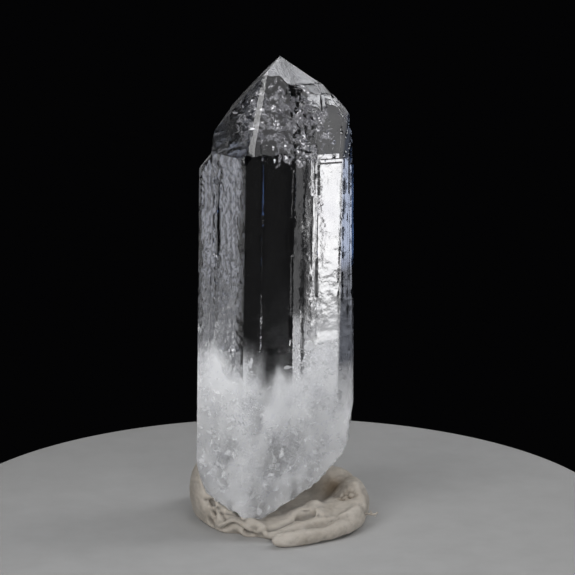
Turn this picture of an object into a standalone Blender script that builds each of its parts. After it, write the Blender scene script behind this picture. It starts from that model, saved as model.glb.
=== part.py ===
"""A clear quartz crystal standing in a lump of mounting putty.

The crystal is one grown piece: a pointed main crystal, the lower growth at its upper right, a narrow
crystal along its left edge and thin plates on its right side. Each is a block cut by flat crystal
faces, and the blocks are joined. Its broken foot sits in a pocket pressed in the putty.

The origin is the centre of the putty's flat underside. +Z is up and -Y is the front. Sizes and meshes
are in millimetres, and their parent, an empty scaled by MM, places them in metres.
"""

import math
from dataclasses import dataclass

import bmesh
import bpy
from mathutils import Matrix, Vector, noise

MM = 0.001
SCALE_EMPTY = "millimetres"

# The crystal's own frame: its origin is the tip and its Z runs up the crystal's long axis.
TIP = Vector((0.34, 4.0, 77.06))
LEAN = 1.0  # degrees, towards +X
BROAD = 23.0  # how far the broad front face is turned from the front, in degrees
RHOMB = 51.8  # from the long axis to the normal of each face of the point, in degrees
PRISM = 90.0
BLOCK = 200.0  # the cube that every crystal block is cut from
ON_PLANE = 1e-5  # a corner this near a cutting plane counts as on it

# The six directions that a face can look in, 60 degrees apart.
FRONT = BROAD
RIGHT = BROAD + 60.0
REAR_RIGHT = BROAD + 120.0
REAR_LEFT = BROAD - 180.0
LEFT = BROAD - 120.0
FRONT_LEFT = BROAD - 60.0

# The broken foot: planes that rise to each side from the lowest point, given at the front edge.
FOOT_LOW = Vector((-2.8, -8.4, 2.5))
FOOT_REST = Vector((5.9, -5.0, 6.7))
FOOT_CORNER = Vector((-12.2, -5.8, 6.0))
FOOT_LEFT_RISE = 0.37
FOOT_RIGHT_RISE = 0.49
FOOT_SIDE_RISE = 1.05
FOOT_CORNER_RISE = 3.7
FOOT_BACK_RISE = 0.09
FOOT_ROUGHNESS = 0.32
FOOT_GRAIN = 2.6
FOOT_NOISE_SLICE = 3.7
FOOT_NOISE_DECAY = 0.9
FOOT_NOISE_STEP = 2.1
FOOT_NOISE_LEVELS = 3
FOOT_CELLS = 30
FOOT_SPAN = 32.0

SOCKET_GAP = 0.32  # between the crystal and the pocket it sits in
PUTTY_VOXEL = 0.8
PUTTY_FLOOR = 0.0
PUTTY_LUMP_LEVELS = 4
PUTTY_ROLL_LEVELS = 2
PUTTY_SMOOTHING = 0.6
PUTTY_ROUNDS = 4
PUTTY_SHARP_ANGLE = 50.0

QUARTZ_COLOUR = (0.93, 0.94, 0.96)
QUARTZ_ROUGHNESS = 0.03
QUARTZ_IOR = 1.544
PUTTY_COLOUR = (0.62, 0.57, 0.5)
PUTTY_ROUGHNESS = 0.6


@dataclass(frozen=True)
class Face:
    """One flat face of a crystal block.

    turn is the way it looks, in degrees from the front towards +X. tilt is the angle between its
    normal and the long axis. distance is how far its plane stands from the tip, in millimetres.
    """

    turn: float
    tilt: float
    distance: float

    def normal(self) -> Vector:
        """Return the unit vector out of the face, in the crystal's own frame."""
        turn = math.radians(self.turn)
        tilt = math.radians(self.tilt)
        across = math.sin(tilt)
        return Vector((across * math.sin(turn), -across * math.cos(turn), math.cos(tilt)))


@dataclass(frozen=True)
class Block:
    """One convex growth of the crystal, as the faces that bound it.

    sunk is how far the point's own faces are moved in before they cut this block too, in
    millimetres. It is None for a block with a point of its own.
    """

    name: str
    faces: tuple[Face, ...]
    sunk: float | None = None


@dataclass(frozen=True)
class Lump:
    """One rounded mass of putty: an ellipsoid with its centre, radii and turn about Z."""

    centre: tuple[float, float, float]
    radii: tuple[float, float, float]
    turn: float = 0.0


@dataclass(frozen=True)
class Press:
    """One push into the putty, or a pull out of it where depth is negative.

    Every point within radius of centre moves by up to depth, the way direction points.
    """

    centre: tuple[float, float, float]
    radius: float
    depth: float
    direction: tuple[float, float, float]


POINT = (
    Face(FRONT, RHOMB, 0.0),
    Face(REAR_RIGHT, RHOMB, 0.0),
    Face(LEFT + 3.0, 48.5, 0.0),
    Face(FRONT_LEFT + 3.0, 48.75, 1.39),
    Face(FRONT_LEFT + 45.0, 48.2, 0.3),
    Face(REAR_LEFT, RHOMB, 1.8),
    Face(LEFT, 61.0, 2.75),
    Face(FRONT_LEFT + 30.0, 65.5, 6.95),
)

BLOCKS = (
    Block(
        "main_crystal",
        (
            Face(FRONT, PRISM, 11.0),
            Face(FRONT_LEFT, PRISM, 14.35),
            Face(LEFT, PRISM, 9.4),
            Face(RIGHT, PRISM, 6.86),
            Face(REAR_RIGHT, PRISM, 6.5),
            Face(REAR_LEFT, PRISM, 7.5),
        ),
        sunk=0.0,
    ),
    Block(
        "upper_step",
        (
            Face(FRONT, RHOMB, -0.4),
            Face(REAR_RIGHT, RHOMB, 0.35),
            Face(RIGHT, RHOMB, 2.72),
            Face(FRONT, PRISM, 10.8),
            Face(RIGHT, PRISM, 10.6),
            Face(REAR_RIGHT, PRISM, 6.6),
            Face(REAR_LEFT, PRISM, 7.2),
            Face(LEFT, PRISM, -5.6),
        ),
    ),
    Block(
        "right_crystal",
        (
            Face(FRONT, RHOMB, -0.85),
            Face(REAR_RIGHT, RHOMB, 0.05),
            Face(RIGHT, RHOMB, 3.15),
            Face(FRONT, PRISM, 10.92),
            Face(RIGHT, 89.3, 11.24),
            Face(REAR_RIGHT, PRISM, 6.8),
            Face(REAR_LEFT, PRISM, 7.0),
            Face(LEFT, PRISM, -6.3),
        ),
    ),
    Block(
        "left_crystal",
        (
            Face(LEFT, RHOMB, -1.45),
            Face(FRONT_LEFT - 38.0, 58.0, 2.95),
            Face(FRONT_LEFT, PRISM, 14.2),
            Face(LEFT, PRISM, 11.5),
            Face(REAR_LEFT, PRISM, 6.9),
            Face(RIGHT, PRISM, -6.0),
        ),
        sunk=0.15,
    ),
    Block(
        "first_plate",
        (
            Face(RIGHT, RHOMB, 2.0),
            Face(RIGHT, 89.1, 11.74),
            Face(FRONT, PRISM, 10.7),
            Face(REAR_RIGHT, PRISM, 6.3),
            Face(LEFT, PRISM, -9.0),
            Face(RIGHT, 115.0, 38.36),
        ),
        sunk=1.0,
    ),
    Block(
        "second_plate",
        (
            Face(RIGHT, RHOMB, 1.25),
            Face(RIGHT, 88.9, 11.86),
            Face(FRONT, PRISM, 10.35),
            Face(REAR_RIGHT, PRISM, 5.9),
            Face(LEFT, PRISM, -9.5),
            Face(RIGHT, 120.0, 41.6),
        ),
        sunk=1.2,
    ),
    Block(
        "third_plate",
        (
            Face(RIGHT, 65.0, 4.17),
            Face(RIGHT, 88.5, 11.95),
            Face(FRONT, PRISM, 9.9),
            Face(REAR_RIGHT, PRISM, 5.4),
            Face(LEFT, PRISM, -10.0),
            Face(RIGHT, 99.0, 22.19),
        ),
        sunk=1.4,
    ),
    Block(
        "front_ledge",
        (
            Face(FRONT, 89.9, 11.1),
            Face(FRONT, 100.0, 18.6),
            Face(RIGHT, PRISM, 11.1),
            Face(LEFT, PRISM, -7.6),
            Face(REAR_LEFT, PRISM, -9.0),
        ),
        sunk=1.1,
    ),
    Block(
        "left_ledge",
        (
            Face(FRONT_LEFT, 89.9, 14.45),
            Face(FRONT_LEFT, 76.0, 9.5),
            Face(FRONT_LEFT, 102.0, 20.5),
            Face(FRONT, PRISM, 6.5),
            Face(LEFT, PRISM, 8.9),
            Face(REAR_RIGHT, PRISM, -12.0),
        ),
        sunk=0.5,
    ),
    Block(
        "rear_ledge",
        (
            Face(REAR_RIGHT, 89.8, 6.75),
            Face(REAR_RIGHT, 70.0, 2.2),
            Face(REAR_RIGHT, 108.0, 24.0),
            Face(RIGHT, PRISM, 8.6),
            Face(REAR_LEFT, PRISM, 5.6),
            Face(FRONT_LEFT, PRISM, -4.0),
        ),
        sunk=0.5,
    ),
    Block(
        "rear_left_ledge",
        (
            Face(REAR_LEFT, 89.8, 7.58),
            Face(REAR_LEFT, 106.0, 21.0),
            Face(REAR_RIGHT, PRISM, 6.2),
            Face(LEFT, PRISM, 6.0),
            Face(FRONT, PRISM, -5.0),
        ),
        sunk=0.4,
    ),
)

LUMPS = (
    Lump((0.2, -0.4, 0.7), (13.7, 12.6, 1.7)),
    Lump((-12.1, 0.4, 4.5), (2.7, 6.4, 5.3), 6.0),
    Lump((-8.6, 7.6, 3.4), (5.6, 4.6, 5.0), 35.0),
    Lump((0.0, 12.0, 3.0), (8.2, 3.0, 4.4)),
    Lump((9.0, 8.6, 2.2), (5.0, 4.0, 3.9), -40.0),
    Lump((12.2, 3.4, 2.2), (3.2, 5.4, 3.7), 4.0),
    Lump((12.9, -1.6, 2.0), (2.3, 4.2, 2.7), -8.0),
    Lump((10.6, -2.2, 1.5), (4.2, 5.4, 2.9), -20.0),
    Lump((5.6, -4.8, 1.3), (5.4, 3.4, 2.3), 20.0),
    Lump((-11.6, -3.4, 2.6), (1.7, 3.2, 2.4), 20.0),
    Lump((-9.4, -6.4, 2.3), (2.4, 2.2, 2.0), -20.0),
    Lump((-5.6, -9.6, 1.7), (4.0, 1.8, 1.7), -28.0),
    Lump((6.3, -6.5, 2.4), (1.6, 1.4, 1.7)),
)

# The roll of putty along the front right edge: its centre line with its radius at each point.
ROLL = (
    ((-0.3, -15.1, 1.15), 1.25),
    ((1.4, -14.9, 1.2), 1.45),
    ((4.4, -13.9, 1.25), 1.45),
    ((8.0, -12.0, 1.35), 1.45),
    ((11.2, -9.2, 1.5), 1.55),
    ((13.2, -5.4, 1.9), 1.75),
)
ROLL_STEPS = 10

PRESSES = (
    Press((4.3, -7.0, 3.0), 1.9, 1.8, (0.1, 0.3, -1.0)),
    Press((6.6, -10.3, 2.0), 2.8, 1.0, (0.0, 0.0, -1.0)),
    Press((1.6, -12.3, 1.9), 2.6, 1.0, (0.0, 0.0, -1.0)),
    Press((11.2, -1.6, 4.6), 2.2, 0.9, (0.1, 0.3, -1.0)),
    Press((9.4, 0.8, 4.6), 2.6, 0.9, (0.0, 0.2, -1.0)),
    Press((10.6, 5.4, 6.4), 2.4, 0.8, (0.0, 0.0, -1.0)),
    Press((-10.9, -6.0, 4.2), 1.3, 1.1, (0.3, 1.0, -0.2)),
    Press((-11.0, -7.2, 1.4), 1.5, 1.6, (0.4, 1.0, 0.0)),
    Press((-3.8, -12.2, 0.6), 2.6, 1.5, (0.1, 1.0, 0.2)),
    Press((-7.4, -10.2, 0.4), 2.4, 1.3, (0.4, 1.0, 0.2)),
    Press((14.8, 4.6, 3.2), 3.2, 0.5, (-1.0, 0.0, 0.0)),
    Press((-14.6, 4.6, 2.2), 3.6, 0.7, (1.0, -0.1, 0.0)),
    Press((2.5, 15.0, 2.4), 4.6, 0.9, (0.0, -1.0, 0.0)),
)


def crystal_frame() -> Matrix:
    """Return the crystal's own frame in millimetres: leaned, with its origin at the tip."""
    return Matrix.Translation(TIP) @ Matrix.Rotation(math.radians(LEAN), 4, "Y")


def clear_scene() -> None:
    """Remove every object of the startup scene."""
    for obj in list(bpy.data.objects):
        bpy.data.objects.remove(obj, do_unlink=True)


def new_collection(name: str, helpers: bool = False) -> bpy.types.Collection:
    """Make a collection in the scene.

    Args:
        name: The collection's name.
        helpers: True for one that holds cutters, which a render leaves out.

    Returns:
        The new collection.
    """
    collection = bpy.data.collections.new(name)
    bpy.context.scene.collection.children.link(collection)
    collection.hide_render = helpers
    return collection


def new_object(name: str, mesh: bpy.types.Mesh, collection: bpy.types.Collection) -> bpy.types.Object:
    """Make an object whose mesh is in millimetres, under the empty that turns them into metres."""
    obj = bpy.data.objects.new(name, mesh)
    obj.parent = bpy.data.objects[SCALE_EMPTY]
    collection.objects.link(obj)
    return obj


def mesh_from(name: str, bm: bmesh.types.BMesh) -> bpy.types.Mesh:
    """Turn a bmesh into a mesh, and free the bmesh."""
    mesh = bpy.data.meshes.new(name)
    bm.to_mesh(mesh)
    bm.free()
    return mesh


def as_helper(obj: bpy.types.Object) -> bpy.types.Object:
    """Mark an object as a cutter or a piece that is joined into another."""
    obj.hide_render = True
    obj.display_type = "WIRE"
    return obj


def principled(name: str, colour: tuple[float, float, float], roughness: float) -> bpy.types.Material:
    """Make an opaque Principled material."""
    material = bpy.data.materials.new(name)
    material.use_nodes = True
    shader = material.node_tree.nodes["Principled BSDF"]
    shader.inputs["Base Color"].default_value = (*colour, 1.0)
    shader.inputs["Roughness"].default_value = roughness
    shader.inputs["Metallic"].default_value = 0.0
    return material


def quartz_material() -> bpy.types.Material:
    """Make the clear quartz: a smooth material that light passes and bends in."""
    material = principled("clear_quartz", QUARTZ_COLOUR, QUARTZ_ROUGHNESS)
    shader = material.node_tree.nodes["Principled BSDF"]
    shader.inputs["Transmission Weight"].default_value = 1.0
    shader.inputs["IOR"].default_value = QUARTZ_IOR
    return material


def join_with(obj: bpy.types.Object, other: bpy.types.Object, operation: str) -> None:
    """Add a Boolean of the other object to this one."""
    modifier = obj.modifiers.new(f"{operation.lower()} {other.name}", "BOOLEAN")
    modifier.operation = operation
    modifier.solver = "EXACT"
    modifier.object = other


def keep_behind(bm: bmesh.types.BMesh, face: Face, clearance: float) -> None:
    """Cut a convex block by one face's plane and close the cut."""
    normal = face.normal()
    cut = bmesh.ops.bisect_plane(
        bm,
        geom=bm.verts[:] + bm.edges[:] + bm.faces[:],
        dist=ON_PLANE,
        plane_co=normal * (face.distance + clearance),
        plane_no=normal,
        clear_outer=True,
    )
    rim = [item for item in cut["geom_cut"] if isinstance(item, bmesh.types.BMEdge)]
    if rim:
        bmesh.ops.edgeloop_fill(bm, edges=rim)


def crystal_block(block: Block, clearance: float, helpers: bpy.types.Collection) -> bpy.types.Object:
    """Cut one growth of the crystal from a cube.

    Args:
        block: The growth's faces.
        clearance: How far every face is moved out, in millimetres.
        helpers: The collection that takes the block.

    Returns:
        The block, placed where it stands in the crystal.
    """
    bm = bmesh.new()
    bmesh.ops.create_cube(bm, size=BLOCK)
    for face in block.faces:
        keep_behind(bm, face, clearance)
    for face in POINT if block.sunk is not None else ():
        keep_behind(bm, face, clearance - block.sunk)
    bmesh.ops.transform(bm, matrix=crystal_frame(), verts=bm.verts)
    bmesh.ops.recalc_face_normals(bm, faces=bm.faces)
    return as_helper(new_object(block.name, mesh_from(block.name, bm), helpers))


def foot_height(x: float, y: float) -> float:
    """Return the height of the broken foot's surface over one point, in millimetres."""
    back = FOOT_BACK_RISE * (y - FOOT_LOW.y)
    rises = (
        FOOT_LOW.z + FOOT_LEFT_RISE * (FOOT_LOW.x - x),
        FOOT_LOW.z + FOOT_RIGHT_RISE * (x - FOOT_LOW.x),
        FOOT_REST.z + FOOT_SIDE_RISE * (x - FOOT_REST.x),
        FOOT_CORNER.z + FOOT_CORNER_RISE * (FOOT_CORNER.x - x),
    )
    place = Vector((x, y, FOOT_NOISE_SLICE)) / FOOT_GRAIN
    grain = noise.fractal(place, FOOT_NOISE_DECAY, FOOT_NOISE_STEP, FOOT_NOISE_LEVELS)
    return max(rises) + back + FOOT_ROUGHNESS * grain


def foot_cutter(name: str, clearance: float, helpers: bpy.types.Collection) -> bpy.types.Object:
    """Make the solid whose rough top breaks off the crystal's foot.

    Args:
        name: The cutter's name.
        clearance: How far the broken surface is lowered, in millimetres.
        helpers: The collection that takes the cutter.

    Returns:
        The cutter.
    """
    bm = bmesh.new()
    bmesh.ops.create_grid(bm, x_segments=FOOT_CELLS, y_segments=FOOT_CELLS, size=FOOT_SPAN / 2.0)
    top = bm.verts[:]
    below = bmesh.ops.extrude_face_region(bm, geom=bm.faces[:], use_keep_orig=True)
    lowered = [item for item in below["geom"] if isinstance(item, bmesh.types.BMVert)]
    for vert in top:
        vert.co.z = foot_height(vert.co.x, vert.co.y) - clearance
    for vert in lowered:
        vert.co.z = -BLOCK
    bmesh.ops.recalc_face_normals(bm, faces=bm.faces)
    return as_helper(new_object(name, mesh_from(name, bm), helpers))


def crystal_solid(name: str, clearance: float, collection: bpy.types.Collection,
                  helpers: bpy.types.Collection) -> bpy.types.Object:
    """Join the growths in one solid and break off its foot.

    Args:
        name: The solid's name.
        clearance: How far every face is moved out, in millimetres.
        collection: The collection that takes the solid.
        helpers: The collection that takes the growths and the cutter.

    Returns:
        The solid, with its Boolean modifiers left on it.
    """
    grown = [crystal_block(block, clearance, helpers) for block in BLOCKS]
    first, *others = grown
    solid = new_object(name, first.data.copy(), collection)
    for other in others:
        join_with(solid, other, "UNION")
    join_with(solid, foot_cutter(f"{name}_foot", clearance, helpers), "DIFFERENCE")
    return solid


def roll_points() -> list[tuple[Vector, float]]:
    """Return points and radii spaced evenly along the front roll of putty."""
    spaced = []
    for (start, start_radius), (end, end_radius) in zip(ROLL, ROLL[1:]):
        for step in range(ROLL_STEPS):
            share = step / ROLL_STEPS
            centre = Vector(start).lerp(Vector(end), share)
            spaced.append((centre, start_radius + (end_radius - start_radius) * share))
    return spaced


def lump_mesh() -> bmesh.types.BMesh:
    """Return the putty's lumps and its front roll as overlapping balls, in millimetres."""
    bm = bmesh.new()
    for lump in LUMPS:
        place = Matrix.Translation(lump.centre) @ Matrix.Rotation(math.radians(lump.turn), 4, "Z")
        shape = place @ Matrix.Diagonal((*lump.radii, 1.0))
        bmesh.ops.create_icosphere(bm, subdivisions=PUTTY_LUMP_LEVELS, radius=1.0, matrix=shape)
    for centre, radius in roll_points():
        place = Matrix.Translation(centre)
        bmesh.ops.create_icosphere(bm, subdivisions=PUTTY_ROLL_LEVELS, radius=radius, matrix=place)
    return bm


def pressed(point: Vector) -> Vector:
    """Return where the presses move one point of the putty, in millimetres."""
    moved = point.copy()
    for press in PRESSES:
        away = (point - Vector(press.centre)).length / press.radius
        if away < 1.0:
            moved += Vector(press.direction).normalized() * press.depth * (1.0 - away * away) ** 2
    return moved


def putty_lump(name: str, collection: bpy.types.Collection) -> bpy.types.Object:
    """Model the lump of putty: merged balls, smoothed, with the marks pressed in."""
    rough = new_object(f"{name}_rough", mesh_from(name, lump_mesh()), collection)
    skin = rough.modifiers.new("one skin", "REMESH")
    skin.mode = "VOXEL"
    skin.voxel_size = PUTTY_VOXEL
    soft = rough.modifiers.new("soften", "SMOOTH")
    soft.factor = PUTTY_SMOOTHING
    soft.iterations = PUTTY_ROUNDS
    graph = bpy.context.evaluated_depsgraph_get()
    mesh = bpy.data.meshes.new_from_object(rough.evaluated_get(graph))
    bpy.data.objects.remove(rough, do_unlink=True)
    for vert in mesh.vertices:
        vert.co = pressed(vert.co)
    return new_object(name, mesh, collection)


def floor_cutter(helpers: bpy.types.Collection) -> bpy.types.Object:
    """Make the block that cuts the putty flat where it rests."""
    bm = bmesh.new()
    place = Matrix.Translation((0.0, 0.0, PUTTY_FLOOR - BLOCK / 2.0))
    bmesh.ops.create_cube(bm, size=BLOCK, matrix=place)
    return as_helper(new_object("floor_cutter", mesh_from("floor_cutter", bm), helpers))


def build() -> None:
    """Model the crystal and its putty holder."""
    clear_scene()
    parts = new_collection("quartz_crystal")
    helpers = new_collection("cutters", helpers=True)
    scale_empty = bpy.data.objects.new(SCALE_EMPTY, None)
    scale_empty.scale = (MM, MM, MM)
    parts.objects.link(scale_empty)
    crystal = crystal_solid("quartz_crystal", 0.0, parts, helpers)
    crystal.data.materials.append(quartz_material())
    socket = as_helper(crystal_solid("socket", SOCKET_GAP, helpers, helpers))
    putty = putty_lump("mounting_putty", parts)
    putty.data.materials.append(principled("putty", PUTTY_COLOUR, PUTTY_ROUGHNESS))
    join_with(putty, floor_cutter(helpers), "DIFFERENCE")
    join_with(putty, socket, "DIFFERENCE")
    putty.data.shade_smooth()
    putty.data.set_sharp_from_angle(angle=math.radians(PUTTY_SHARP_ANGLE))


if __name__ == "__main__":
    build()
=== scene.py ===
"""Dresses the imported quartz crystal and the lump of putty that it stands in.

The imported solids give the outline. This script gives them their fine surface: growth relief, pits and
striations on the crystal's faces, the milky cloud and the healed cracks inside it, and the pinched and
torn skin of the putty. Pieces are shaped in millimetres and brought back to metres when finished.
"""

import logging
import math
from collections.abc import Callable
from dataclasses import dataclass
from enum import Enum
from typing import Any

import bpy
import numpy as np
from bpy.types import ID, Material, Mesh, Node, NodeSocket as Socket, NodeTree, Object
from mathutils import Matrix, Vector, noise
from mathutils.bvhtree import BVHTree


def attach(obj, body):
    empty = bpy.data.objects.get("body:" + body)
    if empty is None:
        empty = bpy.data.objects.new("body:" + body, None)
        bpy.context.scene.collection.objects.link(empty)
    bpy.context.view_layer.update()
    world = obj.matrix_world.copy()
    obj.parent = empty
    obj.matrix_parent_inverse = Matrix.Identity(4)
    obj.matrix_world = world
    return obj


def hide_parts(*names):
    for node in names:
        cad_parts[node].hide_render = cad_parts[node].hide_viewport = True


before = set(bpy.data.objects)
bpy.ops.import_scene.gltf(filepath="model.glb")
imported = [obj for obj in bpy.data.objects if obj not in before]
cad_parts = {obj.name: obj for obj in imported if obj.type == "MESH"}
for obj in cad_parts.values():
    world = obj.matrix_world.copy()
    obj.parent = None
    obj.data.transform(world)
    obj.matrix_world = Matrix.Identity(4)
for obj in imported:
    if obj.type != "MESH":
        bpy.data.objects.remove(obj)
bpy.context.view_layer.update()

log = logging.getLogger("quartz")

Pair = tuple[float, float]
Triple = tuple[float, float, float]

MM = 0.001
BODY = "root"

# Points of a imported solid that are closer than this, in millimetres, are one point.
MERGE_WITHIN = 0.0005

# The main point's tip in millimetres, the crystal's lean to the right, the turn of its broad face from
# the front, and the angle from one face of the prism to the next.
TIP = Vector((0.34, 4.0, 77.06))
LEAN = math.radians(1.0)
BROAD = math.radians(23.0)
SIXTH = math.pi / 3.0

# The broken foot's lowest place as (across, height) in millimetres, and its rise on each side.
FOOT_LOW = (-2.8, 2.5)
FOOT_RISE = (0.37, 0.49)

# The cloud's upper limit as (across, height), and its clearer windows as (centre, radii, share cleared).
# CLOUD_SCALE is the height at the top of the curve that gives the limit to the material.
CLOUD_LINE = ((-13.5, 31.0), (-8.0, 31.5), (-5.5, 28.5), (-4.2, 24.0), (-3.2, 21.0), (-2.7, 26.5),
              (2.0, 26.0), (4.0, 31.0), (6.0, 35.5), (10.0, 37.0), (12.5, 20.0))
CLOUD_WINDOWS = (((0.8, -7.0, 12.8), (3.6, 5.0, 3.2), 0.85), ((-7.2, -7.0, 15.0), (0.9, 4.0, 2.4), 0.8),
                 ((-5.8, -7.0, 14.5), (0.5, 4.0, 1.5), 0.7))
CLOUD_SCALE = 50.0

# The map cell of one small shape: its three corners as shares of the cell.
CELL_CORNERS = ((0.1, 0.1), (0.9, 0.1), (0.5, 0.9))


class Zone(Enum):
    """The kinds of surface on the crystal, each with a relief of its own."""

    POINT = 0
    BROAD_FACE = 1
    LEFT_FACE = 2
    RIGHT_FACE = 3
    REAR_FACE = 4
    FOOT = 5


def select_only(obj: Object) -> None:
    """Deselect everything, then select one object and make it active."""
    for other in bpy.context.selected_objects:
        other.select_set(False)
    obj.select_set(True)
    bpy.context.view_layer.objects.active = obj


def link_new(name: str, data: ID) -> Object:
    """Put a mesh, a lamp or a camera in the scene as a new object at the origin, and return it."""
    obj = bpy.data.objects.new(name, data)
    bpy.context.scene.collection.objects.link(obj)
    return obj


def copy_of_node(node: str, name: str) -> Object:
    """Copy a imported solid, merge its loose triangles and bring it to millimetres.

    Args:
        node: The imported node.
        name: The copy's name.

    Returns:
        The copy, selected.
    """
    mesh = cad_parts[node].data.copy()
    mesh.name = name
    mesh.materials.clear()
    mesh.transform(Matrix.Scale(1.0 / MM, 4))
    obj = link_new(name, mesh)
    in_edit_mode(obj, lambda: bpy.ops.mesh.remove_doubles(threshold=MERGE_WITHIN),
                 bpy.ops.mesh.customdata_custom_splitnormals_clear)
    return obj


def in_edit_mode(obj: Object, *steps: Callable[[], set[str]]) -> None:
    """Select all of a mesh in edit mode and run each step on it."""
    select_only(obj)
    bpy.ops.object.mode_set(mode="EDIT")
    for step in steps:
        bpy.ops.mesh.select_all(action="SELECT")
        step()
    bpy.ops.object.mode_set(mode="OBJECT")


def apply_modifier(obj: Object, kind: str, **settings: Any) -> None:
    """Add a modifier, set it up and apply it at once.

    Args:
        obj: The object that takes it.
        kind: The modifier's type, such as REMESH.
        **settings: Its settings by name.
    """
    select_only(obj)
    modifier = obj.modifiers.new(kind.lower(), kind)
    for key, value in settings.items():
        setattr(modifier, key, value)
    bpy.ops.object.modifier_apply(modifier=modifier.name)


def rows_of(items: bpy.types.bpy_prop_collection, name: str) -> np.ndarray:
    """Return one value of three numbers, such as normal, of each of a mesh's points or faces, as rows."""
    flat = np.empty(len(items) * 3, np.float32)
    items.foreach_get(name, flat)
    return flat.reshape(-1, 3).astype(float)


def points_of(mesh: Mesh) -> np.ndarray:
    """Return the mesh's points as rows of x, y and z."""
    return rows_of(mesh.vertices, "co")


def move_points(mesh: Mesh, points: np.ndarray) -> None:
    """Give the mesh new points, in the order of its own."""
    mesh.vertices.foreach_set("co", points.astype(np.float32).ravel())
    mesh.update()


def note(obj: Object, name: str, kind: str, field: str, values: np.ndarray) -> None:
    """Keep a value at each of a piece's points, for its finish to read.

    Args:
        obj: The piece.
        name: The note's name.
        kind: Its type, such as FLOAT.
        field: The field that the type holds its values in.
        values: The value of each point.
    """
    layer = obj.data.attributes.new(name, kind, "POINT")
    layer.data.foreach_set(field, values.astype(np.float32).ravel())


def climb(value: np.ndarray, start: float | np.ndarray, over: float) -> np.ndarray:
    """Return 0 up to the start, climbing evenly to 1 over the given way."""
    return np.clip((value - start) / over, 0.0, 1.0)


def fade(value: np.ndarray, end: float | np.ndarray, over: float) -> np.ndarray:
    """Return 0 from the end on, and before it a value that falls evenly from 1 over the given way."""
    return np.clip((end - value) / over, 0.0, 1.0)


def window(value: np.ndarray, low: float, high: float, soft: float) -> np.ndarray:
    """Return 1 between low and high, falling softly to 0 outside."""
    rise = np.clip((value - low) / soft + 0.5, 0.0, 1.0)
    fall = np.clip((high - value) / soft + 0.5, 0.0, 1.0)
    return rise * rise * (3.0 - 2.0 * rise) * fall * fall * (3.0 - 2.0 * fall)


def squared_way(points: np.ndarray, centre: tuple, radii: float | tuple) -> np.ndarray:
    """Return the square of each point's distance from a centre, measured in radii."""
    return (((points - np.array(centre)) / np.array(radii)) ** 2).sum(1)


@dataclass(frozen=True)
class Grain:
    """A pattern in space: the width of a grain along each axis in millimetres, and its offset."""

    size: Triple
    shift: float

    def scaled(self, points: np.ndarray) -> np.ndarray:
        """Return the points measured in grains."""
        return points / np.asarray(self.size) + self.shift

    def smooth(self, points: np.ndarray) -> np.ndarray:
        """Return smooth noise at each point, from -1 to 1."""
        return np.array([noise.noise(Vector(row)) for row in self.scaled(points)])

    def crests(self, points: np.ndarray) -> np.ndarray:
        """Return noise with sharp crests, which is 1 on a crest."""
        return 1.0 - np.abs(self.smooth(points)) * 2.0

    def cuts(self, points: np.ndarray, width: float) -> np.ndarray:
        """Return the depth of the cuts between cells, from their width in the middle to 0 beside them."""
        near = np.array([noise.voronoi(Vector(row))[0][:2] for row in self.scaled(points)])
        return np.clip(width - (near[:, 1] - near[:, 0]), 0.0, width)


def finish_piece(obj: Object, material: Material, slot: str, *nodes: str) -> None:
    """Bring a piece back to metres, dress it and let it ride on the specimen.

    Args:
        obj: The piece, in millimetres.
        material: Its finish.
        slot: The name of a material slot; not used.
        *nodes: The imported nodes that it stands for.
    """
    obj.data.transform(Matrix.Scale(MM, 4))
    obj.data.materials.clear()
    obj.data.materials.append(material)
    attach(obj, BODY)
    if nodes:
        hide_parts(*nodes)
    log.info("%s: %d faces", obj.name, len(obj.data.polygons))


class Graph:
    """Places and links the nodes of one material or node group."""

    def __init__(self, tree: NodeTree) -> None:
        """Work on one node tree."""
        self.tree = tree

    def add(self, kind: str, *first: Any, **values: Any) -> Node:
        """Add a node.

        Args:
            kind: The node's type without its ShaderNode prefix.
            *first: Values or links for the node's first inputs, in their order.
            **values: Input values and links by socket name, with underscores for spaces, or settings
                of the node itself.

        Returns:
            The node.
        """
        node = self.tree.nodes.new(f"ShaderNode{kind}")
        for key, value in values.items():
            if hasattr(node, key):
                setattr(node, key, value)
        for place, value in enumerate(first):
            self.feed(node, place, value)
        for key, value in values.items():
            if not hasattr(node, key):
                self.feed(node, key.replace("_", " "), value)
        return node

    def feed(self, node: Node, name: str | int, value: Any) -> None:
        """Set one input of a node, or link an output to it."""
        if isinstance(value, Socket):
            self.tree.links.new(value, node.inputs[name])
        else:
            node.inputs[name].default_value = value

    def reckon(self, operation: str, *values: Any, clamped: bool = False) -> Socket:
        """Return the result of one step of reckoning with values or links."""
        return self.add("Math", *values, operation=operation, use_clamp=clamped).outputs[0]

    def vector(self, operation: str, *values: Any) -> Socket:
        """Return the place that one step of reckoning with places gives."""
        return self.add("VectorMath", *values, operation=operation).outputs[0]

    def blend(self, share: Any, low: Any, high: Any, way: str = "MIX") -> Socket:
        """Return a colour between two colours, which are values or links."""
        node = self.add("Mix", share, data_type="RGBA", blend_type=way)
        # The inputs for colours are the sixth and the seventh, and the output is the second, from 0.
        self.feed(node, 6, low)
        self.feed(node, 7, high)
        return node.outputs[2]

    def mapped(self, value: Any, given: tuple = (0.0, 1.0), wanted: tuple = (0.0, 1.0)) -> Socket:
        """Return a value moved evenly from one range to another, and held within it."""
        return self.add("MapRange", value, *given, *wanted).outputs[0]

    def mark(self, name: str, output: str) -> Socket:
        """Return a value that is kept at the piece's points under a name."""
        return self.add("Attribute", attribute_name=name).outputs[output]


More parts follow.
